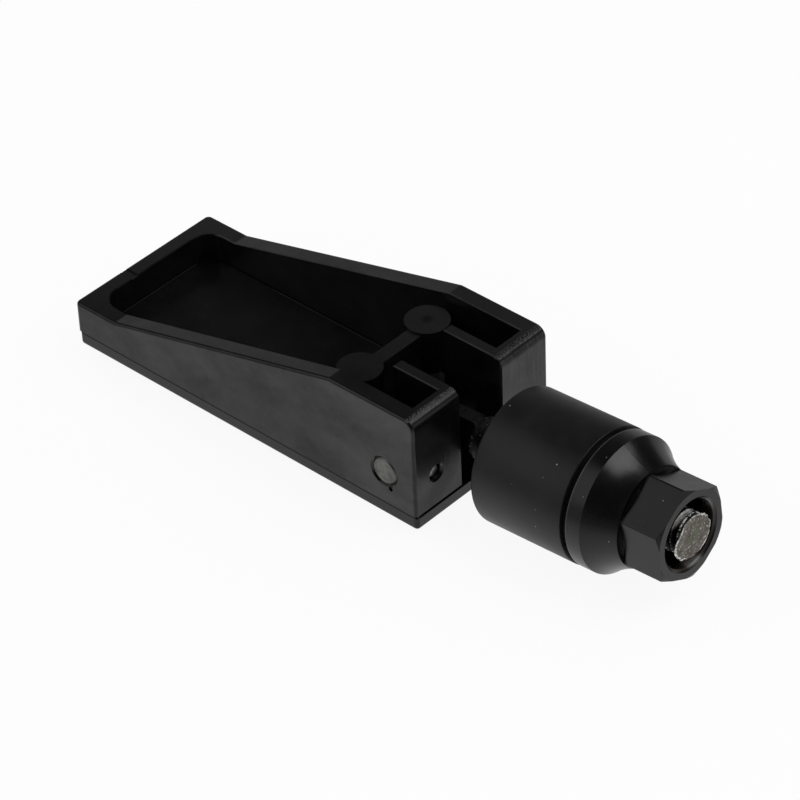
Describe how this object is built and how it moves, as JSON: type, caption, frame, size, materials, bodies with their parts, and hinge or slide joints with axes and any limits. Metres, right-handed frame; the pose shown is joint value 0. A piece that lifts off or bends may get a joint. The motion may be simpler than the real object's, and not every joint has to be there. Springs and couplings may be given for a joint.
{
  "type": "swell latch",
  "caption": "Lever swell latch: a moulded cam lever on a threaded spindle squeezes a rubber bushing so that it swells and grips inside a round panel hole.",
  "frame": {"origin": "middle of the rubber bushing, on the spindle's axis", "axes": "+X from the lever's tip towards the nut, parallel to the lever's flat back; +Z towards the lever's open side, away from its flat back; +Y completes the frame"},
  "size_m": [0.0976, 0.0262, 0.02],
  "materials": {
    "lever_plastic": "fine matte moulding, worn bright on the top edges of the prongs",
    "cover_plastic": "fine matte moulding",
    "pin_steel": "dull turned end",
    "locking_steel": "dull turned end",
    "spindle_steel": "blackened, with a bare sawn end",
    "bushing_rubber": "matte black rubber",
    "washer_plastic": "matte",
    "nut_plastic": "satin black moulding"
  },
  "bodies": {
    "spindle_body": {"spindle": "spindle_steel", "swell_bushing": "bushing_rubber"},
    "lever": {"lever_body": "lever_plastic", "face_cover": "cover_plastic", "pivot_pin": "pin_steel", "locking_pin": "locking_steel"},
    "washer": {"thrust_washer": "washer_plastic"},
    "nut": {"adjusting_nut": "nut_plastic"}
  },
  "joints": [
    {"name": "lever_swing", "type": "hinge", "parent": "spindle_body", "child": "lever", "pos_m": [-0.01906, 0, -0.00128], "axis": [0, 1, 0], "range_deg": [-3.84, 86.16]},
    {"name": "nut_travel", "type": "slide", "parent": "spindle_body", "child": "washer", "axis": [-0.9978, 0, -0.067], "range_m": [0, 0.004], "deforming": ["swell_bushing"]},
    {"name": "nut_turn", "type": "hinge", "parent": "washer", "child": "nut", "pos_m": [0.01088, 0, 0.00073], "axis": [-0.9978, 0, -0.067], "range_deg": [0, 1440]}
  ],
  "couplings": [
    {"joint": "nut_travel", "follows": "nut_turn", "m_per_rad": 0.00015915}
  ]
}
